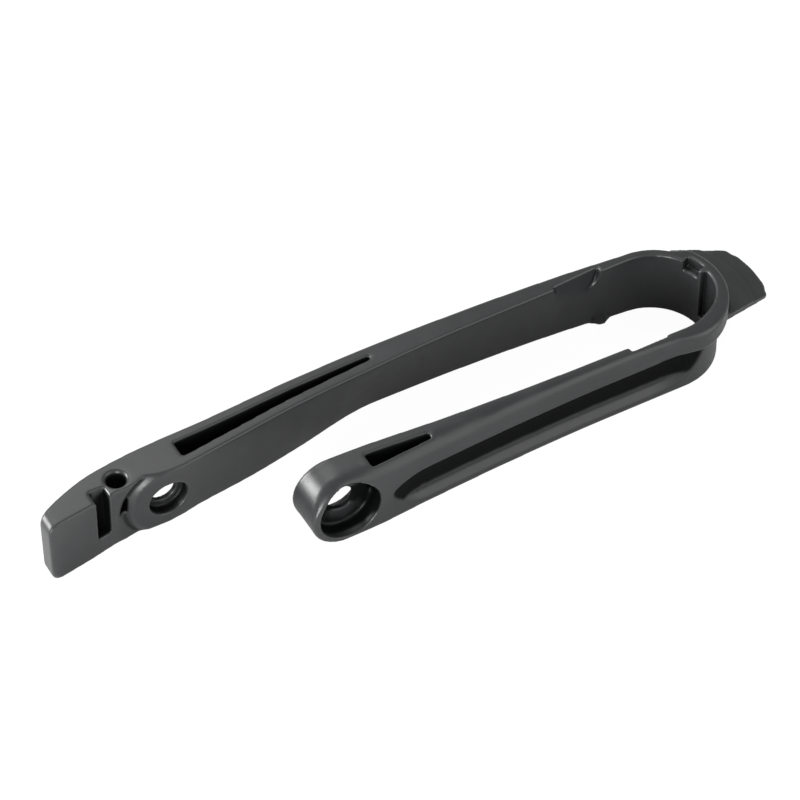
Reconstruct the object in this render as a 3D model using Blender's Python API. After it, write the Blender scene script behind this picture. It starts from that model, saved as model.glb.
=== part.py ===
"""Chain slider of a motorbike swingarm: one moulded piece, a long U that lies on its side edge.

X runs from the ends of the arms to the nose, Y from the short arm to the long arm, and Z up through
the width. Distances along an arm are counted back from the nose's axis, and offsets outwards from the
centre line. The origin is on the floor, below the middle of the part's box.
"""
import math

import bmesh
import bpy
import numpy as np
from mathutils import Matrix, Vector

# Body
WIDTH = 0.038
EDGE_ROUND = 0.0008
OUTER_ROUND = 0.0012
EDGE_STEPS = 2
TOP_STEPS = 8

# Nose
BORE_RADIUS = 0.027
NOSE_WALL = 0.005
BEND_STEPS = 36
RIM_REACH = 0.0042
RIM_FOOT = 0.0268
RIM_FOOT_STEP = 0.0003
RIM_FOOT_SLOPE = 0.25
# How far the rim stands out, in shares of its reach, along the bend: 0 points to the nose's front,
# positive runs to the long arm and negative to the short one
RIM_RUN = ((0.0235, 0.0), (0.0168, 1.0), (-0.0250, 1.05), (-0.0400, 1.15), (-0.0503, 0.8), (-0.0603, 0.35),
           (-0.0800, 0.0))

# Long arm: its outer face, and the top and bottom edges of its inner face, as (distance, offset)
LONG_ARM = 0.332
LONG_OUTER = ((0.040, 0.0354), (0.097, 0.0380), (0.140, 0.0387), (0.181, 0.0378), (0.238, 0.0344))
LONG_OUTER_END = ((0.062, 0.0332), (0.033, 0.0297), (0.015, 0.0239), (0.000, 0.0165))
LONG_INNER_TOP = ((0.060, 0.0266), (0.104, 0.0260), (0.156, 0.0231), (0.193, 0.0202), (0.232, 0.0150))
LONG_INNER_LOW = ((0.030, 0.0303), (0.070, 0.0329), (0.110, 0.0342), (0.143, 0.0345), (0.152, 0.0338),
                  (0.188, 0.0262), (0.219, 0.0205), (0.248, 0.0169))
TIP_LAND_TOP = ((0.044, 0.0122), (0.022, 0.0093), (0.000, 0.0062))
TIP_LAND_LOW = ((0.044, 0.0142), (0.022, 0.0102), (0.000, 0.0062))
TIP_ROUND = 0.0055
TIP_STEPS = 5

# Round screw boss of the long arm, and the groove that parts it from the land at the tip
BOSS_FROM_TIP = 0.0660
BOSS_HEIGHT = 0.0175
BOSS_TOP_OFFSET = 0.0113
BOSS_LOW_OFFSET = 0.0139
BOSS_RADIUS = 0.0190
GROOVE_RADIUS = 0.0228
GROOVE_OUTSIDE = 0.0290
GROOVE_DEPTH = 0.0042
GROOVE_SKIN = 0.0003
# Share of the groove's depth by angle about the boss, in degrees up from the nose's side
GROOVE_RUN = ((62, 0.0), (105, 0.9), (140, 1.0), (185, 0.9), (240, 0.4))

# Short arm, in the same way; its inner face stands upright
SHORT_ARM = 0.2157
SHORT_OUTER = ((0.050, 0.0319), (0.100, 0.0332), (0.150, 0.0359))
SHORT_OUTER_END = ((0.030, 0.0383), (0.000, 0.0385))
SHORT_INNER = ((0.010, 0.0268), (0.030, 0.0252), (0.076, 0.0241), (0.131, 0.0216))
SHORT_INNER_END = ((0.032, 0.0178), (0.000, 0.0168))
SHORT_TOP_ROUND = 0.0095
BEND_TOP_ROUND = 0.0035
SHORT_ROUND_RUN = 0.03
END_STEPS = 8
END_TURN = math.radians(86)
TOP_LAND = 0.002

# Chain channel in the outer face of each arm
CHANNEL_DEPTH = 0.0038
CHANNEL_LIP = 0.0037
CHANNEL_TOP = 0.0249
CHANNEL_POINT_HEIGHT = 0.0178
CHANNEL_END = 0.176
CHANNEL_END_TAPER = 0.024
CHANNEL_NOSE_REACH = 0.0098
CHANNEL_NOSE_TAPER = 0.030
CHANNEL_MOUTH = 0.0008
CHANNEL_SPREAD_SHAPE = 0.6
CHANNEL_FLOOR_SHAPE = 0.8
CHANNEL_DEPTH_IN_MOUTH = 1 / 3
# Its rounded shoulder and its slope in shares of its depth, as (inwards, down) and (inwards, up)
CHANNEL_SHOULDER = ((0.12, 0.14), (0.50, 0.42), (0.86, 0.95))
CHANNEL_SLOPE = ((0.88, 1.10), (0.12, 0.10))
# Height of the crease where its floor is deepest, as a share of the way from the lip to the top
CHANNEL_CREASE = 0.54

# Long hollows cored out of the top face
HOLLOW_RIM = 0.006
HOLLOW_WALL = 0.003
HOLLOW_DEPTH = 0.020
LONG_HOLLOW = (0.146, 0.2555)
SHORT_HOLLOW = (0.146, 0.180)
HOLLOW_RAMP = 0.016
HOLLOW_END_DEPTH = 0.004

# Screw seats: a recess from each face and a hole through the web between them
SCREW_HOLE_RADIUS = 0.0068
SHORT_WEB = 0.0035
BOSS_WEB = 0.003
SHORT_SEAT_FROM_END = 0.0208
SHORT_SEAT_HEIGHT = 0.0186
SHORT_SEAT_RADIUS = 0.0163
SHORT_SEAT_DEPTH = 0.0105
SHORT_BACK_RADIUS = 0.0135
BOSS_BORE_RADIUS = 0.0104
BOSS_BORE_DEPTH = 0.0075
LONG_SEAT_RADIUS = 0.0150

# Round hole and open slot at the tip
PEG_HOLE_FROM_TIP = 0.042
PEG_HOLE_OFFSET = 0.0199
PEG_HOLE_RADIUS = 0.0049
PEG_HOLE_DEPTH = 0.020
PEG_HOLE_FLARE = 0.0012
SLOT_FROM_TIP = 0.0308
SLOT_WIDTH = 0.0072
SLOT_BACK_OFFSET = 0.0186
SLOT_FLOOR = 0.011
SLOT_MOUTH_TIP_SIDE = 0.0012
SLOT_MOUTH_BOSS_SIDE = 0.0012

# Notch and crescent recess in the nose's bore
NOTCH_FROM = math.radians(8)
NOTCH_TO = math.radians(28)
NOTCH_BACK = 0.0312
NOTCH_FLOOR = 0.0315
CRESCENT_FROM = math.radians(-80)
CRESCENT_TO = math.radians(3)
CRESCENT_SHIFT = 0.005
CRESCENT_DEPTH = 0.0033
CRESCENT_FLOOR = 0.007

# Fin in front of the nose
FIN_REACH = 0.0590
FIN_THICKNESS = 0.0030
FIN_TOP = 0.0262
FIN_SPREAD_LONG = math.radians(18.9)
FIN_SPREAD_SHORT = math.radians(-17.6)
FIN_ROOT_LONG = ((0.0450, 0.0267), (0.0300, 0.0330), (0.0080, 0.0300))
FIN_ROOT_SHORT = ((0.0230, -0.0254), (0.0180, -0.0240))
FIN_CORNER = 0.003
FIN_STEP_RADIUS = 0.0502
FIN_STEP = 0.0008

# Round recesses at the top of both inner faces, as (distance, radius, depth, turn, tilt)
LONG_NICK = (0.0295, 0.0135, 0.0030, math.radians(4), math.radians(5))
SHORT_NICK = (0.0215, 0.0105, 0.0024, 0.0, 0.0)

# Teeth at the foot of both inner faces
TOOTH_DISTANCE = 0.0150
TOOTH_LENGTH = 0.010
TOOTH_REACH = 0.0035
TOOTH_ROOT = 0.001
TOOTH_HEIGHT = 0.008
TOOTH_TOP_SHARE = 0.4

NOSE_OUTER = BORE_RADIUS + NOSE_WALL
FLOOR_SHIFT = (LONG_ARM - FIN_REACH) / 2
OVERCUT = 0.004
TINY = 1e-5

# Where the sections of the arms stand closer: beside the nose, and at the long arm's crease
NEAR_NOSE = (0.003, 0.007, 0.011, 0.015, 0.019, 0.024)
CREASE = 0.148
CREASE_RUN = 0.012


def smooth_line(points):
    """A curve through (distance, offset) points that never overshoots them."""
    x, y = np.array(sorted(points)).T
    step = np.diff(x)
    slope = np.diff(y) / step
    tangent = np.empty(len(x))
    tangent[0], tangent[-1] = slope[0], slope[-1]
    for i in range(1, len(x) - 1):
        before, after = slope[i - 1], slope[i]
        tangent[i] = 0 if before * after <= 0 else 2 * before * after / (before + after)

    def at(distance):
        d = min(max(distance, x[0]), x[-1])
        i = min(int(np.searchsorted(x, d, side="right")) - 1, len(step) - 1)
        t = (d - x[i]) / step[i]
        rise = (1 + 2 * t) * (1 - t) ** 2 * y[i] + t * t * (3 - 2 * t) * y[i + 1]
        return rise + step[i] * (t * (1 - t) ** 2 * tangent[i] - t * t * (1 - t) * tangent[i + 1])

    return at


def from_end(length, points):
    """Points given by their distance from an arm's end, turned into distances from the nose."""
    return tuple((length - back, offset) for back, offset in points)


def ease(value, start, end):
    """0 before start, 1 after end and a smooth rise between them, in either order."""
    t = min(max((value - start) / (end - start), 0.0), 1.0)
    return t * t * (3 - 2 * t)


BOSS_DISTANCE = LONG_ARM - BOSS_FROM_TIP
SEAT_DISTANCE = SHORT_ARM - SHORT_SEAT_FROM_END

long_outer = smooth_line(((0.0, NOSE_OUTER),) + LONG_OUTER + from_end(LONG_ARM, LONG_OUTER_END))
long_top = smooth_line(((0.0, BORE_RADIUS),) + LONG_INNER_TOP + ((BOSS_DISTANCE, BOSS_TOP_OFFSET),)
                       + from_end(LONG_ARM, TIP_LAND_TOP))
long_low = smooth_line(((0.0, BORE_RADIUS),) + LONG_INNER_LOW + ((BOSS_DISTANCE, BOSS_LOW_OFFSET),)
                       + from_end(LONG_ARM, TIP_LAND_LOW))
short_outer = smooth_line(((0.0, NOSE_OUTER),) + SHORT_OUTER + from_end(SHORT_ARM, SHORT_OUTER_END))
short_inner = smooth_line(((0.0, BORE_RADIUS),) + SHORT_INNER + from_end(SHORT_ARM, SHORT_INNER_END))
rim_share = smooth_line(RIM_RUN)
groove_share = smooth_line(GROOVE_RUN)


def channel(distance):
    """Depth, top and lip of the chain channel: full along the arm, pointed at its two ends."""
    back = ease(distance, CHANNEL_END, CHANNEL_END - CHANNEL_END_TAPER)
    spread = max(back, CHANNEL_MOUTH / CHANNEL_TOP) ** CHANNEL_SPREAD_SHAPE
    top = CHANNEL_POINT_HEIGHT + (CHANNEL_TOP - CHANNEL_POINT_HEIGHT) * spread
    lip = CHANNEL_POINT_HEIGHT + (CHANNEL_LIP - CHANNEL_POINT_HEIGHT) * spread
    front = min(max((distance + CHANNEL_NOSE_REACH) / CHANNEL_NOSE_TAPER, 0.0), 1.0)
    rise = math.sqrt(1 - (1 - front) ** 2)
    lip = min(top - (top - lip) * rise, top - CHANNEL_MOUTH)
    depth = CHANNEL_DEPTH * min(back, rise) ** CHANNEL_FLOOR_SHAPE
    return min(depth, (top - lip) * CHANNEL_DEPTH_IN_MOUTH), top, lip


def section(inner_low, inner_top, outer, rim, top_round, distance):
    """Ring of (offset, height) points round the body, from the inner edge on the floor."""
    ring = []

    def corner(offset, height, radius, start, steps=EDGE_STEPS):
        for k in range(steps + 1):
            turn = math.radians(start - 90 * k / steps)
            ring.append((offset + radius * math.cos(turn), height + radius * math.sin(turn)))

    depth, top, lip = channel(distance)
    corner(inner_low + EDGE_ROUND, EDGE_ROUND, EDGE_ROUND, 270)
    corner(inner_top + EDGE_ROUND, WIDTH - EDGE_ROUND, EDGE_ROUND, 180)
    corner(rim - top_round, WIDTH - top_round, top_round, 90, TOP_STEPS)
    ring.append((rim, RIM_FOOT))
    ring.append((outer, RIM_FOOT - RIM_FOOT_STEP - RIM_FOOT_SLOPE * (rim - outer)))
    ring.append((outer, top))
    for inwards, down in CHANNEL_SHOULDER:
        ring.append((outer - inwards * depth, top - down * depth))
    ring.append((outer - depth, lip + CHANNEL_CREASE * (top - lip)))
    for inwards, up in CHANNEL_SLOPE:
        ring.append((outer - inwards * depth, lip + up * depth))
    ring.append((outer, lip - EDGE_ROUND / 2))
    corner(outer - EDGE_ROUND, EDGE_ROUND, EDGE_ROUND, 0)
    return ring


def rim_reach(run):
    """How far the nose's rim stands out at a place along the bend."""
    return RIM_REACH * rim_share(run)


def bend_run(distance):
    """Place along the bend for a distance from the nose on the short arm."""
    return -NOSE_OUTER * math.pi / 2 - distance


def spaced(start, end, count):
    """Evenly spaced distances after the start, the last of them at the end."""
    return [start + (end - start) * k / count for k in range(1, count + 1)]


def stations():
    """Every section of the body in turn, as rings of 3-D points, from the long arm's tip."""
    rings = []

    def across(side, distance, inset, values):
        scale = (WIDTH - 2 * inset) / WIDTH
        rings.append([(-distance, side * r, inset + z * scale) for r, z in section(*values, distance)])

    def long_values(distance):
        outer = long_outer(distance)
        return long_low(distance), long_top(distance), outer, outer, OUTER_ROUND

    def short_values(distance):
        inner = short_inner(distance)
        outer = short_outer(distance)
        rim = outer + rim_reach(bend_run(distance))
        room = min(SHORT_TOP_ROUND, rim - inner - TOP_LAND - EDGE_ROUND)
        top_round = BEND_TOP_ROUND + (room - BEND_TOP_ROUND) * ease(distance, 0.0, SHORT_ROUND_RUN)
        return inner, inner, outer, rim, top_round

    for k in range(TIP_STEPS, -1, -1):
        turn = math.radians(90 * k / TIP_STEPS)
        distance = LONG_ARM - TIP_ROUND * (1 - math.sin(turn))
        across(1, distance, TIP_ROUND * (1 - math.cos(turn)), long_values(distance))
    stops = spaced(LONG_ARM - TIP_ROUND, BOSS_DISTANCE, 11)
    stops += spaced(BOSS_DISTANCE, CREASE + CREASE_RUN, 13)
    stops += spaced(CREASE + CREASE_RUN, CREASE - CREASE_RUN, 5)
    stops += spaced(CREASE - CREASE_RUN, NEAR_NOSE[-1], 12)
    stops += list(reversed(NEAR_NOSE[:-1]))
    for distance in stops:
        across(1, distance, 0.0, long_values(distance))

    for k in range(BEND_STEPS + 1):
        angle = math.pi / 2 - math.pi * k / BEND_STEPS
        rim = NOSE_OUTER + rim_reach(NOSE_OUTER * angle)
        past = -NOSE_OUTER * (math.pi / 2 - abs(angle))
        top_round = OUTER_ROUND + (BEND_TOP_ROUND - OUTER_ROUND) * ease(angle, -math.pi / 4, -math.pi / 2)
        ring = section(BORE_RADIUS, BORE_RADIUS, NOSE_OUTER, rim, top_round, past)
        rings.append([(r * math.cos(angle), r * math.sin(angle), z) for r, z in ring])

    stops = list(NEAR_NOSE)
    stops += spaced(NEAR_NOSE[-1], CHANNEL_END - CHANNEL_END_TAPER, 14)
    stops += spaced(CHANNEL_END - CHANNEL_END_TAPER, CHANNEL_END, 6)
    stops += [(CHANNEL_END + SHORT_ARM - WIDTH / 2) / 2]
    for distance in stops:
        across(-1, distance, 0.0, short_values(distance))
    for k in range(END_STEPS + 1):
        turn = END_TURN * k / END_STEPS
        distance = SHORT_ARM - WIDTH / 2 * (1 - math.sin(turn))
        across(-1, distance, WIDTH / 2 * (1 - math.cos(turn)), short_values(distance))
    return rings


def loft(name, rings):
    """A closed solid through rings of equally many points, with a face at each end."""
    mesh = bmesh.new()
    rows = [[mesh.verts.new(point) for point in ring] for ring in rings]
    count = len(rows[0])
    for near, far in zip(rows, rows[1:]):
        for k in range(count):
            mesh.faces.new((near[k], near[(k + 1) % count], far[(k + 1) % count], far[k]))
    mesh.faces.new(rows[0])
    mesh.faces.new(list(reversed(rows[-1])))
    bmesh.ops.connect_verts_nonplanar(mesh, angle_limit=0.0001, faces=mesh.faces)
    bmesh.ops.recalc_face_normals(mesh, faces=mesh.faces)
    data = bpy.data.meshes.new(name)
    mesh.to_mesh(data)
    mesh.free()
    return bpy.data.objects.new(name, data)


def plate(name, outline, low, high):
    """A flat outline in plan, raised from one height to another, through a filled 2-D curve."""
    curve = bpy.data.curves.new(name, "CURVE")
    curve.dimensions = "2D"
    curve.fill_mode = "BOTH"
    curve.extrude = (high - low) / 2
    spline = curve.splines.new("POLY")
    spline.points.add(len(outline) - 1)
    for point, (x, y) in zip(spline.points, outline):
        point.co = (x, y, 0, 1)
    spline.use_cyclic_u = True
    flat = bpy.data.objects.new(name + "_outline", curve)
    cutters.objects.link(flat)
    bpy.context.view_layer.update()
    data = bpy.data.meshes.new_from_object(flat.evaluated_get(bpy.context.evaluated_depsgraph_get()))
    bpy.data.objects.remove(flat)
    mesh = bmesh.new()
    mesh.from_mesh(data)
    bmesh.ops.remove_doubles(mesh, verts=mesh.verts, dist=TINY)
    bmesh.ops.translate(mesh, verts=mesh.verts, vec=(0, 0, (low + high) / 2))
    bmesh.ops.recalc_face_normals(mesh, faces=mesh.faces)
    mesh.to_mesh(data)
    mesh.free()
    data.name = name
    return bpy.data.objects.new(name, data)


def plate_across(name, outline, start, end):
    """An outline in (x, height), run across the part between two offsets."""
    solid = plate(name, outline, -end, -start)
    solid.data.transform(Matrix.Rotation(math.pi / 2, 4, "X"))
    return solid


def drum(name, radius, start, end, place, sides=40):
    """A cylinder across the part between two offsets, at its place in length and height."""
    mesh = bmesh.new()
    bmesh.ops.create_cone(mesh, cap_ends=True, segments=sides, radius1=radius, radius2=radius,
                          depth=abs(end - start))
    middle = (start + end) / 2
    shift = Matrix.Translation((place[0], middle, place[1])) @ Matrix.Rotation(math.pi / 2, 4, "X")
    bmesh.ops.transform(mesh, matrix=shift, verts=mesh.verts)
    data = bpy.data.meshes.new(name)
    mesh.to_mesh(data)
    mesh.free()
    return bpy.data.objects.new(name, data)


def combine(body, tool, operation):
    """Joins a solid to the body or cuts it out, and keeps the tool as a hidden wire."""
    cutters.objects.link(tool)
    tool.hide_render = True
    tool.display_type = "WIRE"
    step = body.modifiers.new(tool.name, "BOOLEAN")
    step.operation = operation
    step.solver = "EXACT"
    step.object = tool


def hollow(name, side, span, inner_top, inner_low, outer):
    """A long hollow that keeps a rim along both faces and ends in a ramp towards the nose."""
    start, end = span
    floor = WIDTH - HOLLOW_DEPTH
    rings = []
    for distance in np.linspace(end, start, 15):
        far = outer(distance) - HOLLOW_RIM
        near = inner_top(distance) + HOLLOW_RIM
        lean = (inner_low(distance) - inner_top(distance)) * HOLLOW_DEPTH / WIDTH
        deep_near = min(max(near, inner_top(distance) + lean + HOLLOW_WALL), (near + far) / 2)
        lift = (HOLLOW_DEPTH - HOLLOW_END_DEPTH) * ease(distance, start + HOLLOW_RAMP, start)
        rings.append([(-distance, side * near, WIDTH + OVERCUT), (-distance, side * far, WIDTH + OVERCUT),
                      (-distance, side * far, floor + lift), (-distance, side * deep_near, floor + lift)])
    return loft(name, rings)


def arc(radius, start, end, steps, centre=(0.0, 0.0)):
    """Points along an arc, both ends included."""
    return [(centre[0] + radius * math.cos(start + (end - start) * k / steps),
             centre[1] + radius * math.sin(start + (end - start) * k / steps)) for k in range(steps + 1)]


def rounded(points, radius):
    """An outline with each of its corners cut back by a radius and turned in three steps."""
    outline = []
    for k, point in enumerate(points):
        here = Vector(point)
        before = here + (Vector(points[k - 1]) - here).normalized() * radius
        after = here + (Vector(points[(k + 1) % len(points)]) - here).normalized() * radius
        for share in (0.0, 1 / 3, 2 / 3, 1.0):
            spot = before.lerp(here, share).lerp(here.lerp(after, share), share)
            outline.append((spot.x, spot.y))
    return outline


def add_fin(body):
    front = arc(FIN_REACH, FIN_SPREAD_SHORT, FIN_SPREAD_LONG, 12)
    corners = rounded([FIN_ROOT_SHORT[0], front[0], front[-1], FIN_ROOT_LONG[0]], FIN_CORNER)
    outline = corners[4:8] + front[2:-2] + corners[8:12]
    turns = [math.atan2(root[1], root[0]) for root in (FIN_ROOT_LONG[-1], FIN_ROOT_SHORT[-1])]
    outline += list(FIN_ROOT_LONG[1:]) + arc(BORE_RADIUS + NOSE_WALL / 2, *turns, 14)
    combine(body, plate("fin", outline, FIN_TOP - FIN_THICKNESS, FIN_TOP), "UNION")
    half = 2 * FIN_SPREAD_LONG
    band = arc(FIN_REACH + OVERCUT, -half, half, 12) + arc(FIN_STEP_RADIUS, half, -half, 12)
    combine(body, plate("fin_step", band, FIN_TOP - FIN_STEP, FIN_TOP + OVERCUT), "DIFFERENCE")


def add_teeth(body):
    for side, inner in ((1, long_low), (-1, short_inner)):
        face = inner(TOOTH_DISTANCE)
        back = face + TOOTH_ROOT
        tip = face - TOOTH_REACH
        outline = [(-TOOTH_DISTANCE - TOOTH_LENGTH / 2, side * back),
                   (-TOOTH_DISTANCE, side * tip),
                   (-TOOTH_DISTANCE + TOOTH_LENGTH / 4, side * tip),
                   (-TOOTH_DISTANCE + TOOTH_LENGTH, side * back)]
        tooth = plate(f"tooth_{side}", outline, 0.0, TOOTH_HEIGHT)
        for vertex in tooth.data.vertices:
            if vertex.co.z > TOOTH_HEIGHT / 2:
                vertex.co.y = side * back + (vertex.co.y - side * back) * TOOTH_TOP_SHARE
        combine(body, tooth, "UNION")


def cut_hollows(body):
    combine(body, hollow("long_hollow", 1, LONG_HOLLOW, long_top, long_low, long_outer), "DIFFERENCE")
    combine(body, hollow("short_hollow", -1, SHORT_HOLLOW, short_inner, short_inner, short_outer),
            "DIFFERENCE")


def cut_screw_seats(body):
    x = -SEAT_DISTANCE
    outer = -short_outer(SEAT_DISTANCE)
    inner = -short_inner(SEAT_DISTANCE)
    seat = outer + SHORT_SEAT_DEPTH
    place = (x, SHORT_SEAT_HEIGHT)
    back = seat + SHORT_WEB
    combine(body, drum("short_seat", SHORT_SEAT_RADIUS, outer - OVERCUT, seat, place, 48), "DIFFERENCE")
    combine(body, drum("short_screw", SCREW_HOLE_RADIUS, seat - OVERCUT, back + OVERCUT, place, 32),
            "DIFFERENCE")
    combine(body, drum("short_back", SHORT_BACK_RADIUS, back, inner + OVERCUT, place), "DIFFERENCE")
    x = -BOSS_DISTANCE
    outer = long_outer(BOSS_DISTANCE)
    inner = BOSS_TOP_OFFSET
    seat = (inner + BOSS_LOW_OFFSET) / 2 + BOSS_BORE_DEPTH
    back = seat + BOSS_WEB
    place = (x, BOSS_HEIGHT)
    combine(body, drum("boss_bore", BOSS_BORE_RADIUS, inner - OVERCUT, seat, place), "DIFFERENCE")
    combine(body, drum("boss_screw", SCREW_HOLE_RADIUS, seat - OVERCUT, back + OVERCUT, place, 32),
            "DIFFERENCE")
    arch = [(x - LONG_SEAT_RADIUS, -OVERCUT)]
    arch += arc(LONG_SEAT_RADIUS, math.pi, 0.0, 24, place)
    arch += [(x + LONG_SEAT_RADIUS, -OVERCUT)]
    combine(body, plate_across("long_seat", arch, back, outer + OVERCUT), "DIFFERENCE")


def cut_tip(body):
    """The round hole with its flared mouth, and the slot, whose mouth flares more towards the tip."""
    place = (PEG_HOLE_FROM_TIP - LONG_ARM, PEG_HOLE_OFFSET)
    rings = []
    wide = PEG_HOLE_FLARE + OVERCUT
    for below, spread in ((PEG_HOLE_DEPTH, 0.0), (PEG_HOLE_FLARE, 0.0), (-OVERCUT, wide)):
        circle = arc(PEG_HOLE_RADIUS + spread, 0.0, 2 * math.pi, 32, place)[:-1]
        rings.append([(x, y, WIDTH - below) for x, y in circle])
    combine(body, loft("peg_hole", rings), "DIFFERENCE")
    left = SLOT_FROM_TIP - LONG_ARM - SLOT_WIDTH / 2
    right = left + SLOT_WIDTH
    slot = [(left, SLOT_FLOOR), (right, SLOT_FLOOR), (right, WIDTH - SLOT_MOUTH_BOSS_SIDE),
            (right + SLOT_MOUTH_BOSS_SIDE + OVERCUT, WIDTH + OVERCUT),
            (left - SLOT_MOUTH_TIP_SIDE - OVERCUT, WIDTH + OVERCUT), (left, WIDTH - SLOT_MOUTH_TIP_SIDE)]
    combine(body, plate_across("slot", slot, 0.0, SLOT_BACK_OFFSET), "DIFFERENCE")


def cut_groove(body):
    """The hollow that curves round the boss and runs out at the top: a conical flank, then the land."""
    lean = (BOSS_TOP_OFFSET - BOSS_LOW_OFFSET) / WIDTH
    rings = []
    for angle in np.linspace(GROOVE_RUN[-1][0], GROOVE_RUN[0][0], 26):
        depth = GROOVE_DEPTH * groove_share(angle)
        profile = ((BOSS_RADIUS, -OVERCUT), (BOSS_RADIUS, -GROOVE_SKIN),
                   (GROOVE_RADIUS, depth - GROOVE_SKIN),
                   (GROOVE_OUTSIDE, -GROOVE_SKIN), (GROOVE_OUTSIDE, -OVERCUT))
        turn = math.radians(angle)
        ring = []
        for radius, inwards in profile:
            height = BOSS_HEIGHT + radius * math.sin(turn)
            face = BOSS_LOW_OFFSET + lean * height
            ring.append((radius * math.cos(turn) - BOSS_DISTANCE, face + inwards, height))
        rings.append(ring)
    combine(body, loft("groove", rings), "DIFFERENCE")


def cut_nose(body):
    pocket = arc(NOTCH_BACK, NOTCH_FROM, NOTCH_TO, 6) + arc(BORE_RADIUS - OVERCUT, NOTCH_TO, NOTCH_FROM, 6)
    combine(body, plate("notch", pocket, NOTCH_FLOOR, WIDTH + OVERCUT), "DIFFERENCE")
    radius = BORE_RADIUS + CRESCENT_DEPTH - CRESCENT_SHIFT
    centre = (CRESCENT_SHIFT * math.cos(CRESCENT_TO), CRESCENT_SHIFT * math.sin(CRESCENT_TO))
    crescent = arc(radius, CRESCENT_FROM, CRESCENT_TO, 20, centre) + [centre]
    combine(body, plate("crescent", crescent, CRESCENT_FLOOR, WIDTH + OVERCUT), "DIFFERENCE")


def cut_nick(body, name, side, top, low, nick):
    """A round recess, centred on the top edge of an arm's inner face."""
    distance, radius, depth, turn, tilt = nick
    lean = math.atan2(low(distance) - top(distance), WIDTH) + tilt
    tool = drum(name, radius, -2 * OVERCUT * side, 0.0, (0.0, 0.0), 48)
    aim = Matrix.Rotation(side * turn, 4, "Z") @ Matrix.Rotation(-side * lean, 4, "X")
    tool.data.transform(Matrix.Translation((-distance, side * (top(distance) + depth), WIDTH)) @ aim)
    combine(body, tool, "DIFFERENCE")


def plastic():
    material = bpy.data.materials.new("black_moulded_plastic")
    material.use_nodes = True
    surface = material.node_tree.nodes["Principled BSDF"]
    surface.inputs["Base Color"].default_value = (0.030, 0.031, 0.033, 1)
    surface.inputs["Roughness"].default_value = 0.5
    surface.inputs["Metallic"].default_value = 0.0
    return material


for old in list(bpy.data.objects):
    bpy.data.objects.remove(old)
parts = bpy.data.collections.new("chain_slider")
cutters = bpy.data.collections.new("cutters")
bpy.context.scene.collection.children.link(parts)
bpy.context.scene.collection.children.link(cutters)

slider = loft("chain_slider", stations())
parts.objects.link(slider)
slider.data.materials.append(plastic())
add_fin(slider)
add_teeth(slider)
cut_hollows(slider)
cut_screw_seats(slider)
cut_groove(slider)
cut_tip(slider)
cut_nose(slider)
cut_nick(slider, "long_nick", 1, long_top, long_low, LONG_NICK)
cut_nick(slider, "short_nick", -1, short_inner, short_inner, SHORT_NICK)
slider.data.shade_smooth()
slider.data.set_sharp_from_angle(angle=math.radians(35))
for solid in [slider] + list(cutters.objects):
    solid.location.x = FLOOR_SHIFT
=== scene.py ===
# %% [markdown]
# # A moulded chain slider for a motorbike swingarm
#
# The slider is one piece of black plastic, shaped like a long U that lies on its side edge. The drive chain
# runs along channels in its outer faces, and the swingarm's pivot housing fills the round nose. The CAD model
# holds the exact form. This file gives it the surface of a moulded part: edges softened by the tool, a fine
# grain, edges lightened partly by wear and partly as a painted highlight, painted shade in its recesses and
# inner corners, and a satin black finish, in plain studio light.

import math

import bmesh
import bpy
from mathutils import Matrix, Vector


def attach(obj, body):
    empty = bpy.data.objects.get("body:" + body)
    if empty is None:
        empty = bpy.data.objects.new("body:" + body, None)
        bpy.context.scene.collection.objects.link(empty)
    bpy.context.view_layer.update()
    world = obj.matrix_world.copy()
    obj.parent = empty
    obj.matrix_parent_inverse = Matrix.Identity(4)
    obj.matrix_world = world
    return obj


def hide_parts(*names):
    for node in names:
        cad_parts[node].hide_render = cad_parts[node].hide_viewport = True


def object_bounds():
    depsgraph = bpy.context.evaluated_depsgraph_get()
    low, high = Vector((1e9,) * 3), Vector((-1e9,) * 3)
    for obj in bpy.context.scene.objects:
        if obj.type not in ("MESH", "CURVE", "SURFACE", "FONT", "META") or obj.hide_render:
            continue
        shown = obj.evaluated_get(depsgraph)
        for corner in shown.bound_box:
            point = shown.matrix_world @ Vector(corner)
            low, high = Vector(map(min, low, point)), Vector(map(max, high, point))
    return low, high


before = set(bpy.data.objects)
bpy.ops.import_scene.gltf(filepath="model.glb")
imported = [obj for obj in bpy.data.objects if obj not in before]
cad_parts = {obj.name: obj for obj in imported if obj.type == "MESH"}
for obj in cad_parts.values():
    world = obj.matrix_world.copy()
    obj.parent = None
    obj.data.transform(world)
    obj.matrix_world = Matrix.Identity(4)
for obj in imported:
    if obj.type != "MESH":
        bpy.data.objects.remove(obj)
cad_low, cad_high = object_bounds()
size = cad_high - cad_low
print(f"CAD box: {size.x * 1000:.1f} x {size.y * 1000:.1f} x {size.z * 1000:.1f} mm")

# %% [markdown]
# ## The moulded body
#
# A steel mould has no razor-sharp edges, and the plastic shrinks a little as it cools, so every edge of the
# real slider is slightly round, outside and in. Bevelling such a shape edge by edge is slow and breaks where
# curved cuts meet. Here a copy of the CAD solid is rebuilt as an even skin of small faces, which a tree of
# Geometry Nodes softens further down. An edge that runs almost along the skin's grid would come out in long
# scallops, so the copy is turned against the grid first and turned back afterwards.

# %% Copy the solid
SAME_POINT = 0.000001


def merged_copy(node, name):
    """A copy of a CAD node with its loose triangles joined."""
    mesh = bmesh.new()
    mesh.from_mesh(node.data)
    bmesh.ops.remove_doubles(mesh, verts=mesh.verts, dist=SAME_POINT)
    data = bpy.data.meshes.new(name)
    mesh.to_mesh(data)
    mesh.free()
    copy = bpy.data.objects.new(name, data)
    bpy.context.scene.collection.objects.link(copy)
    return copy


slider = merged_copy(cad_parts["chain_slider"], "slider_body")
print("points of the solid:", len(slider.data.vertices))

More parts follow.
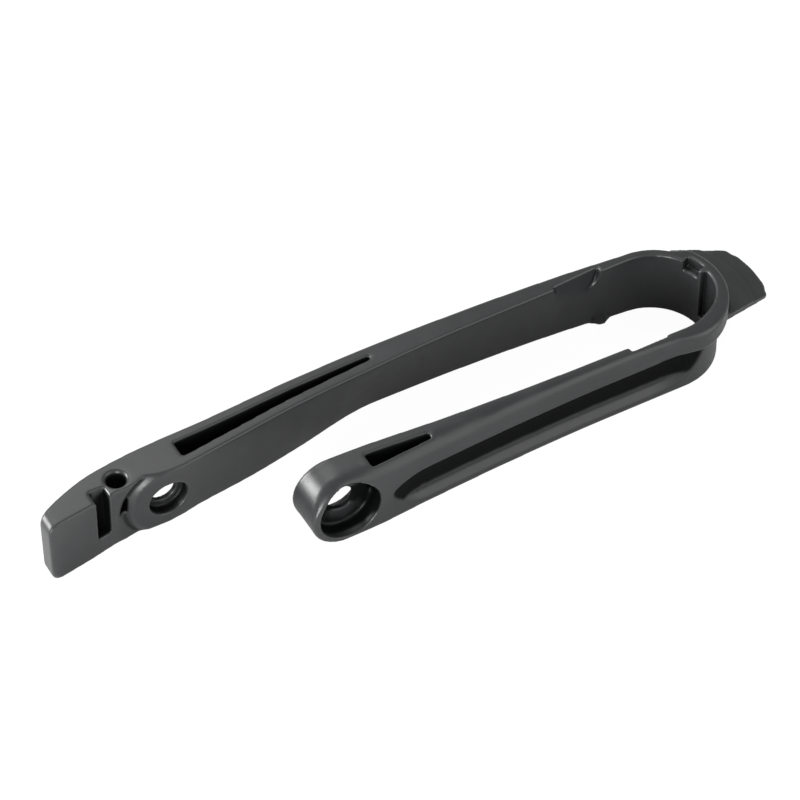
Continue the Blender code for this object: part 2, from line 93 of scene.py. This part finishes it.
# %% Rebuild its skin
SKIN_FACE = 0.00045
AGAINST_THE_GRID = Matrix.Rotation(math.radians(31), 4, "Z") @ Matrix.Rotation(math.radians(23), 4, "X")


def settle(obj):
    """Turns what the modifiers make into the object's own plain mesh."""
    bpy.context.view_layer.update()
    graph = bpy.context.evaluated_depsgraph_get()
    made = bpy.data.meshes.new_from_object(obj.evaluated_get(graph))
    obj.modifiers.clear()
    old = obj.data
    obj.data = made
    made.name = obj.name
    bpy.data.meshes.remove(old)


slider.data.transform(AGAINST_THE_GRID)
skin = slider.modifiers.new("skin", "REMESH")
skin.mode = "VOXEL"
skin.voxel_size = SKIN_FACE
settle(slider)
slider.data.transform(AGAINST_THE_GRID.inverted())
print("skin faces:", len(slider.data.polygons))

# %% [markdown]
# ## Writing node trees as sums
#
# A material and a Geometry Nodes tree are both graphs of small nodes, and wiring them one by one hides the idea
# behind them. The first class below wraps one output of a node. Adding, subtracting or multiplying two wrapped
# outputs adds the Math node that does it, so a mask can be written in the way it would be written on paper. The
# second class adds any other node in the same way: its type, its settings, and what goes into its sockets.


# %% A socket that can be used in sums
class Value:
    """One quantity that varies over a surface, as the output of a node."""

    def __init__(self, graph, socket):
        self.graph = graph
        self.socket = socket

    def _math(self, operation, first, second):
        return self.graph.node("ShaderNodeMath", {"operation": operation}, {0: first, 1: second})

    def __add__(self, other):
        return self._math("ADD", self, other)

    def __radd__(self, other):
        return self._math("ADD", other, self)

    def __sub__(self, other):
        return self._math("SUBTRACT", self, other)

    def __rsub__(self, other):
        return self._math("SUBTRACT", other, self)

    def __mul__(self, other):
        return self._math("MULTIPLY", self, other)

    def __rmul__(self, other):
        return self._math("MULTIPLY", other, self)

    def at_least(self, other):
        return self._math("MAXIMUM", self, other)

    def above(self, limit):
        return self._math("GREATER_THAN", self, limit)

    def below(self, limit):
        return self._math("LESS_THAN", self, limit)


# %% A tree that any node can be added to
class Graph:
    """A tree of nodes, with one method that adds any of them."""

    def __init__(self, tree):
        self.tree = tree
        self.tree.nodes.clear()

    def node(self, kind, settings=None, inputs=None, output=0):
        made = self.tree.nodes.new(kind)
        for key, value in (settings or {}).items():
            setattr(made, key, value)
        for key, value in (inputs or {}).items():
            if isinstance(value, Value):
                self.tree.links.new(value.socket, made.inputs[key])
            else:
                made.inputs[key].default_value = value
        return Value(self, made.outputs[output]) if made.outputs else None

    def between(self, value, low, high):
        """0 below low, 1 above high and a smooth rise between them."""
        return self.node("ShaderNodeMapRange", {"interpolation_type": "SMOOTHSTEP"},
                         {0: value, 1: low, 2: high})


# %% [markdown]
# ## Trees that change a shape
#
# A Geometry Nodes tree is a graph as well, run by a modifier. Its named inputs are its sizes, which are set on
# the modifier, so one tree can serve many objects. The class below adds the few steps that both trees of this
# file share: blurring a value over the skin, moving points, and storing a value for the material to read.


# %% A tree that changes a shape
class ShapeGraph(Graph):
    """A Geometry Nodes tree with named inputs, which are set on the modifier that uses it."""

    def __init__(self, name):
        super().__init__(bpy.data.node_groups.new(name, "GeometryNodeTree"))
        self.entry = self.tree.nodes.new("NodeGroupInput")
        self.place = self.node("GeometryNodeInputPosition")
        self.normal = self.node("GeometryNodeInputNormal")

    def ask(self, name, kind):
        self.tree.interface.new_socket(name, in_out="INPUT", socket_type="NodeSocket" + kind)
        return Value(self, self.entry.outputs[name])

    def finish(self, geometry, material):
        """Ends the tree: plain geometry, smooth, in the material it is asked to wear."""
        self.tree.interface.new_socket("Geometry", in_out="OUTPUT", socket_type="NodeSocketGeometry")
        geometry = self.node("GeometryNodeSetShadeSmooth", None, {0: geometry})
        geometry = self.node("GeometryNodeRealizeInstances", None, {0: geometry})
        geometry = self.node("GeometryNodeSetMaterial", None, {"Geometry": geometry, "Material": material})
        self.node("NodeGroupOutput", None, {0: geometry})

    def blur(self, kind, value, passes, weight=1.0):
        """The value at each point, drawn towards its neighbours' values a number of times."""
        return self.node("GeometryNodeBlurAttribute", {"data_type": kind},
                         {"Value": value, "Iterations": passes, "Weight": weight})

    def move(self, geometry, place):
        return self.node("GeometryNodeSetPosition", None, {"Geometry": geometry, "Position": place})

    def store(self, geometry, name, value):
        return self.node("GeometryNodeStoreNamedAttribute", {"data_type": "FLOAT", "domain": "POINT"},
                         {"Geometry": geometry, "Name": name, "Value": value})

    def part_of(self, vector, axis):
        return self.node("ShaderNodeSeparateXYZ", None, {0: vector}, output=axis)

    def along(self, first, second):
        """How far one vector reaches in the direction of another."""
        return self.node("ShaderNodeVectorMath", {"operation": "DOT_PRODUCT"}, {0: first, 1: second},
                         output="Value")


# %% [markdown]
# ## Softening the edges
#
# The first tree blurs the place of each point, which rounds every edge by about a millimetre. It then measures
# how far each point stands out from a wider blur: that is large on an edge and almost nothing on a flat or
# gently curved side. It keeps the measure as `edge`, which the material uses to lighten the edges, partly as
# wear and partly as a painted highlight, and to paint shade into inner corners. It uses it at once as well:
# where the skin is nearly flat, many more passes even out the flats that the CAD curves are made of. The
# measure is blurred for that, so that the passes keep clear of every edge and don't draw it in unevenly.

# %% The softening tree
NEARLY_FLAT = (0.00004, 0.00008)
KEEP_CLEAR_PASSES = 15


def softening():
    graph = ShapeGraph("soften_edges")
    body = graph.ask("Geometry", "Geometry")
    round_passes = graph.ask("Round Passes", "Int")
    edge_passes = graph.ask("Edge Passes", "Int")
    even_passes = graph.ask("Even Passes", "Int")
    material = graph.ask("Material", "Material")
    body = graph.move(body, graph.blur("FLOAT_VECTOR", graph.place, round_passes))
    around = graph.blur("FLOAT_VECTOR", graph.place, edge_passes)
    offset = graph.node("ShaderNodeVectorMath", {"operation": "SUBTRACT"}, {0: graph.place, 1: around})
    body = graph.store(body, "edge", graph.along(offset, graph.normal))
    edge = graph.node("GeometryNodeInputNamedAttribute", {"data_type": "FLOAT"}, {"Name": "edge"})
    bend = graph.blur("FLOAT", edge.at_least(0 - edge), KEEP_CLEAR_PASSES)
    flat = 1 - graph.between(bend, *NEARLY_FLAT)
    body = graph.move(body, graph.blur("FLOAT_VECTOR", graph.place, even_passes, flat))
    graph.finish(body, material)
    return graph


soften_edges = softening()
print("nodes that soften the edges:", len(soften_edges.tree.nodes))

# %% [markdown]
# ## Finding the recesses
#
# Shade falls deep into the chain channels, the long hollows and the bores. The second tree finds those places
# with rays, and the material paints that shade in there as a darker, duller surface. A point of an outer face
# lies in a channel if the body stands both above it and below it, and the channel's shade is painted only above
# a set height. A wall lies in a slot if another wall stands straight opposite it and close. It lies in a bore
# if the other wall is further off and it doesn't look across the arms, which keeps the arms' own inner faces
# out. Everywhere else the tree measures shelter: rays leave the point on all sides, and the more of them meet
# the body close by, the deeper the point lies. Past the nose's axis only the channels get painted shade.

# %% How far the rays reach, and which way they go
NOSE_AXIS = 0.1365
JUST_OFF = 0.0005
# in a channel, shade is painted only above this height
CHANNEL_SHADE_ABOVE = 0.0097
CHANNEL_REACH = 0.020
SLOT_REACH = 0.016
BORE_REACH = 0.036
LOOKS_ACROSS = 0.5
SHELTER_RAYS = 40
SHELTER_REACH = 0.016
SHELTERED = (0.32, 0.52)
GOLDEN_ANGLE = math.pi * (3 - math.sqrt(5))
UP = (0, 0, 1)
DOWN = (0, 0, -1)


def all_round(count):
    """Directions spread evenly over a ball, on a spiral from its top to its bottom."""
    for step in range(count):
        height = 1 - (2 * step + 1) / count
        around = step * GOLDEN_ANGLE
        level = math.sqrt(1 - height * height)
        yield (level * math.cos(around), level * math.sin(around), height)


print("first of the shelter rays:", [round(part, 3) for part in next(all_round(SHELTER_RAYS))])


# %% The recess tree
def recess_shade_tree():
    graph = ShapeGraph("mark_recesses")
    body = graph.ask("Geometry", "Geometry")
    fade_passes = graph.ask("Fade Passes", "Int")
    material = graph.ask("Material", "Material")
    off = graph.node("ShaderNodeVectorMath", {"operation": "MULTIPLY_ADD"},
                     {0: graph.normal, 1: (JUST_OFF, JUST_OFF, JUST_OFF), 2: graph.place})

    def meets_body(ray, reach):
        """1 where a ray from just off the surface meets the body within reach."""
        return graph.node("GeometryNodeRaycast", None, {"Target Geometry": body, "Source Position": off,
                                                        "Ray Direction": ray, "Ray Length": reach},
                          output="Is Hit")

    x, y, z = (graph.part_of(graph.place, axis) for axis in "XYZ")
    facing_x, facing_y = (graph.part_of(graph.normal, axis) for axis in "XY")
    outward = (facing_x * (x - NOSE_AXIS).at_least(0.0) + facing_y * y).above(0.0)
    # the channel's painted shade is limited to points above a set height
    high_enough_for_shade = z.above(CHANNEL_SHADE_ABOVE)
    channel = meets_body(UP, CHANNEL_REACH) * meets_body(DOWN, CHANNEL_REACH) * outward * high_enough_for_shade
    shelter = 0.0
    for ray in all_round(SHELTER_RAYS):
        faced = graph.along(graph.normal, ray).at_least(0.0)
        shelter = shelter + meets_body(ray, SHELTER_REACH) * faced * (4 / SHELTER_RAYS)
    slot = meets_body(graph.normal, SLOT_REACH)
    bore = meets_body(graph.normal, BORE_REACH) * (facing_y * facing_y).below(LOOKS_ACROSS)
    inside = slot.at_least(bore).at_least(graph.between(shelter, *SHELTERED))
    # where the material paints shade: channels, slots, bores and sheltered places, the last three short of the
    # nose
    found = channel.at_least(inside * x.below(NOSE_AXIS))
    body = graph.store(body, "recess_shade", graph.blur("FLOAT", found, fade_passes))
    graph.finish(body, material)
    return graph


mark_recesses = recess_shade_tree()
print("nodes that find the recesses:", len(mark_recesses.tree.nodes))

# %% [markdown]
# ## Black moulded plastic
#
# Such sliders are made of a tough black plastic, straight from the mould. Almost nothing is scattered back by
# it: what the eye sees is the pale room, mirrored faintly in a satin surface. So its colour is nearly black,
# and the shine does the work. Close up it has a fine grain, faint flow marks from the moulding, and edges that
# are smoother and lighter, the lighter tone partly handling wear and partly a painted highlight. A second,
# darker and duller surface is mixed in where the tree found a recess, and a little in every inner corner,
# where `edge` is below nothing: its dark colour is painted shade.

# %% The plastic's colours and its two finishes
PLASTIC_DARK = (0.015, 0.0158, 0.0168, 1)
PLASTIC_PALE = (0.023, 0.0240, 0.0250, 1)
# the lighter colour of the edges: partly wear, partly a painted highlight
WORN_EDGE_HIGHLIGHT = (0.036, 0.0368, 0.0376, 1)
# the dark colour of the recesses and inner corners is painted shade
DULL_PAINTED_SHADE = (0.0025, 0.0027, 0.0028, 1)
PLASTIC_IOR = 1.52
SATIN_ROUGHNESS = 0.36
DULL_ROUGHNESS = 0.60
DULL_SHINE = 0.05

print("roughness, satin and dull:", SATIN_ROUGHNESS, DULL_ROUGHNESS)

# %% Its patterns, where each mark begins and is full, and how strongly it shows
FLOW_LINES = {"Scale": 38.0, "Detail": 4.0, "Distortion": 0.8}
FLOW_MARK = (0.35, 0.70)
FLOW_PALES, FLOW_DULLS = 0.6, 0.04

SCUFFS = {"Scale": 90.0, "Detail": 5.0}
SCUFFS_RUN_ALONG_X = (1.0, 6.0, 3.0)
SCUFF_MARK = (0.56, 0.74)
SCUFF_PALES, SCUFF_DULLS = 0.25, 0.06

# where edges turn lighter, partly as wear and partly as a painted highlight
WORN_HIGHLIGHT_EDGE = (0.00006, 0.00030)
WORN_HIGHLIGHT_PALES, RUBBING_POLISHES = 0.45, 0.06

FINE_GRAIN = {"Scale": 1900.0, "Detail": 2.0}
PORES = {"Scale": 1100.0}
GRAIN_SHARE, PORE_SHARE = 0.6, 0.4
GRAIN_STRENGTH, GRAIN_DEPTH = 0.14, 0.00012

# where the recess mask paints shade in
RECESS_SHADE = (0.1, 0.9)
# how deep an inner corner must be to get painted shade, and how much it gets
INNER_CORNER_SHADE = (0.00004, 0.00022)
CORNER_SHADE_SHARE = 0.6

print("finest pattern, marks in a metre:", FINE_GRAIN["Scale"])


# %% The plastic's material
def new_material(name):
    material = bpy.data.materials.new(name)
    material.use_nodes = True
    return material, Graph(material.node_tree)


def mix_colour(share, first, second):
    """A colour between two colours."""
    return share.graph.node("ShaderNodeMix", {"data_type": "RGBA"}, {0: share, 6: first, 7: second}, output=2)


def moulded_plastic():
    material, graph = new_material("black_moulded_plastic")
    place = graph.node("ShaderNodeTexCoord", output="Object")
    flow = graph.node("ShaderNodeTexNoise", None, {"Vector": place, **FLOW_LINES})
    grain = graph.node("ShaderNodeTexNoise", None, {"Vector": place, **FINE_GRAIN})
    pores = graph.node("ShaderNodeTexVoronoi", None, {"Vector": place, **PORES})
    drawn_out = graph.node("ShaderNodeMapping", None, {"Vector": place, "Scale": SCUFFS_RUN_ALONG_X})
    scuff = graph.node("ShaderNodeTexNoise", None, {"Vector": drawn_out, **SCUFFS})
    edge = graph.node("ShaderNodeAttribute", {"attribute_name": "edge"}, output="Fac")
    recess_shade = graph.node("ShaderNodeAttribute", {"attribute_name": "recess_shade"}, output="Fac")
    # lighter edges: partly handling wear, partly a painted highlight
    worn_highlight = graph.between(edge, *WORN_HIGHLIGHT_EDGE)
    scuffed = graph.between(scuff, *SCUFF_MARK)
    flow_mark = graph.between(flow, *FLOW_MARK)
    colour = mix_colour(flow_mark * FLOW_PALES + scuffed * SCUFF_PALES, PLASTIC_DARK, PLASTIC_PALE)
    colour = mix_colour(worn_highlight * WORN_HIGHLIGHT_PALES, colour, WORN_EDGE_HIGHLIGHT)
    rough = SATIN_ROUGHNESS + flow_mark * FLOW_DULLS + scuffed * SCUFF_DULLS - worn_highlight * RUBBING_POLISHES
    bump = graph.node("ShaderNodeBump", None, {
        "Strength": GRAIN_STRENGTH,
        "Distance": GRAIN_DEPTH,
        "Height": grain * GRAIN_SHARE + pores * PORE_SHARE,
    })
    satin = graph.node("ShaderNodeBsdfPrincipled", None, {
        "Base Color": colour,
        "Roughness": rough,
        "Normal": bump,
        "IOR": PLASTIC_IOR,
    })
    # a darker, rougher, less shiny surface: its dark colour is painted shade
    dull_painted_shade = graph.node("ShaderNodeBsdfPrincipled", None, {
        "Base Color": DULL_PAINTED_SHADE,
        "Roughness": DULL_ROUGHNESS,
        "Normal": bump,
        "IOR": PLASTIC_IOR,
        "Specular IOR Level": DULL_SHINE,
    })
    # painted shade in inner corners, where the edge measure is below nothing
    corner_shade = graph.between(0 - edge, *INNER_CORNER_SHADE) * CORNER_SHADE_SHARE
    # painted shade: the recess mask, and a little in inner corners
    painted_shade = graph.between(recess_shade, *RECESS_SHADE).at_least(corner_shade)
    surface = graph.node("ShaderNodeMixShader", None, {0: painted_shade, 1: satin, 2: dull_painted_shade})
    graph.node("ShaderNodeOutputMaterial", None, {"Surface": surface})
    return material


plastic = moulded_plastic()
print("plastic nodes:", len(plastic.node_tree.nodes))

# %% [markdown]
# ## Running the trees on the body
#
# A modifier could stay on the object, but then every render would work the trees out again, and the frame's own
# tools expect a plain mesh. So each tree runs once, as the only modifier, and its result is kept. The inputs
# are set by the identifier of their socket, before anything is evaluated. The even skin then has far more faces
# than its flat sides need, so a Decimate modifier merges them there and keeps them where the skin bends.


# %% Soften the body, mark its recesses and give it its plastic
def apply_tree(obj, graph, **inputs):
    """Runs a tree on an object as its only modifier and keeps the result as its mesh."""
    sockets = graph.tree.interface.items_tree
    named = {socket.name: socket.identifier for socket in sockets if socket.in_out == "INPUT"}
    modifier = obj.modifiers.new(graph.tree.name, "NODES")
    modifier.node_group = graph.tree
    for name, value in inputs.items():
        modifier[named[name.replace("_", " ").title()]] = value
    settle(obj)


apply_tree(slider, soften_edges, round_passes=12, edge_passes=23, even_passes=76, material=plastic)
apply_tree(slider, mark_recesses, fade_passes=17, material=plastic)
print("body faces:", len(slider.data.polygons), "materials:", [m.name for m in slider.data.materials])

# %% Thin the skin out
BODY_TRIANGLES = 195000

thin = slider.modifiers.new("thin", "DECIMATE")
thin.ratio = BODY_TRIANGLES / (2 * len(slider.data.polygons))
settle(slider)
slider.data.calc_loop_triangles()
print("body triangles:", len(slider.data.loop_triangles))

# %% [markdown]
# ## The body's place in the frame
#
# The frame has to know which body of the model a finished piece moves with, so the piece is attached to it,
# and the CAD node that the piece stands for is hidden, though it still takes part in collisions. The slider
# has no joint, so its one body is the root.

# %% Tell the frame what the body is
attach(slider, "root")
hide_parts("chain_slider")
print(slider.name, "stands for chain_slider")

# %% [markdown]
# ## Floor
#
# The part is shown on white. A white backdrop alone would leave it floating, so it lies on a pale floor that
# takes its soft shadow. The Light Path node lifts the floor towards white for the camera alone: the shadow
# stays faint in the picture, but the part's sheen mirrors the floor as it is lit.

# %% Lay the floor
FLOOR_SIZE = 6.0
FLOOR_BELOW = 0.0002
FLOOR_PALE = (0.80, 0.80, 0.80, 1)
FLOOR_WHITE = 1.06
SHADOW_SEEN = 0.10
WHITE = (1, 1, 1, 1)


def pale_floor():
    material, graph = new_material("pale_floor")
    matt = graph.node("ShaderNodeBsdfDiffuse", None, {"Color": FLOOR_PALE})
    white = graph.node("ShaderNodeEmission", None, {"Color": WHITE, "Strength": FLOOR_WHITE})
    lift = graph.node("ShaderNodeLightPath", output="Is Camera Ray") * (1 - SHADOW_SEEN)
    surface = graph.node("ShaderNodeMixShader", None, {0: lift, 1: matt, 2: white})
    graph.node("ShaderNodeOutputMaterial", None, {"Surface": surface})
    return material


def lay_floor():
    mesh = bmesh.new()
    bmesh.ops.create_grid(mesh, x_segments=1, y_segments=1, size=FLOOR_SIZE / 2)
    bmesh.ops.translate(mesh, verts=mesh.verts, vec=(0, 0, cad_low.z - FLOOR_BELOW))
    data = bpy.data.meshes.new("floor")
    mesh.to_mesh(data)
    mesh.free()
    data.materials.append(pale_floor())
    floor = bpy.data.objects.new("floor", data)
    bpy.context.scene.collection.objects.link(floor)
    return floor


floor = lay_floor()
print(f"floor: {FLOOR_SIZE:.0f} m square, {FLOOR_BELOW * 1000:.1f} mm below the part")

# %% [markdown]
# ## Light
#
# A black satin part shows little but its lights, so each has a job. The one low at the back on the left gives
# the rounded ends their bright edges. The one at the front on the left catches the flank of the boss. The broad
# one on the right lights the floor that the upright faces mirror, and the one overhead brightens the tops
# towards the tip. Small lamps would leave hard streaks on the satin, so all four are softboxes, and an even
# white world fills in between them.

# %% World
WORLD_STRENGTH = 0.5

world = bpy.data.worlds.new("studio")
world.use_nodes = True
backdrop = world.node_tree.nodes["Background"]
backdrop.inputs["Color"].default_value = WHITE
backdrop.inputs["Strength"].default_value = WORLD_STRENGTH
bpy.context.scene.world = world
print("world strength:", WORLD_STRENGTH)


# %% Lamps
def softbox(name, place, aim, width, power):
    """A square lamp at a place, turned to shine at another."""
    lamp = bpy.data.lights.new(name, "AREA")
    lamp.shape = "SQUARE"
    lamp.size = width
    lamp.energy = power
    obj = bpy.data.objects.new(name, lamp)
    obj.location = place
    obj.rotation_mode = "QUATERNION"
    obj.rotation_quaternion = (Vector(aim) - Vector(place)).to_track_quat("-Z", "Y")
    bpy.context.scene.collection.objects.link(obj)
    print(f"{name}: {width:.2f} m wide, {power:.1f} W")


softbox("back_left_softbox", place=(-0.98, 0.76, 0.47), aim=(-0.06, 0, 0.02), width=0.50, power=20.0)
softbox("front_left_softbox", place=(-0.86, -0.78, 0.36), aim=(-0.16, 0, 0.02), width=0.40, power=11.0)
softbox("front_right_softbox", place=(1.00, -1.10, 0.80), aim=(0, 0, 0.02), width=1.60, power=14.0)
softbox("overhead_softbox", place=(-0.10, 0.80, 1.0), aim=(-0.08, 0, 0), width=0.80, power=5.5)

# %% [markdown]
# ## Camera
#
# The camera's height, heading and distance were found by fitting the part's level edges, its bore and its
# width, so the render frames the part in the same way as the product picture. A long lens from far off keeps
# both arms nearly parallel, as there.

# %% Place the camera
ELEVATION = math.radians(46.253)
HEADING = math.radians(29.497)
DISTANCE = 1.81856
ASIDE = -0.127659
RAISED = -0.027034
LENS = 162.0
SENSOR_WIDTH = 36.0
FURTHEST_SEEN = 20.0

right = Vector((math.cos(HEADING), -math.sin(HEADING), 0))
level = Vector((math.sin(HEADING), math.cos(HEADING), 0))
forward = level * math.cos(ELEVATION) - Vector((0, 0, math.sin(ELEVATION)))
upward = level * math.sin(ELEVATION) + Vector((0, 0, math.cos(ELEVATION)))
place = Vector((NOSE_AXIS, 0, 0)) + right * ASIDE + upward * RAISED - forward * DISTANCE
turn = Matrix((right, upward, -forward)).transposed().to_4x4()

camera = bpy.data.objects.new("camera", bpy.data.cameras.new("camera"))
camera.data.sensor_width = SENSOR_WIDTH
camera.data.lens = LENS
camera.data.clip_end = FURTHEST_SEEN
camera.matrix_world = Matrix.Translation(place) @ turn
bpy.context.scene.collection.objects.link(camera)
bpy.context.scene.camera = camera
bpy.context.scene.view_settings.view_transform = "Standard"
print("camera at", [round(part, 3) for part in place])
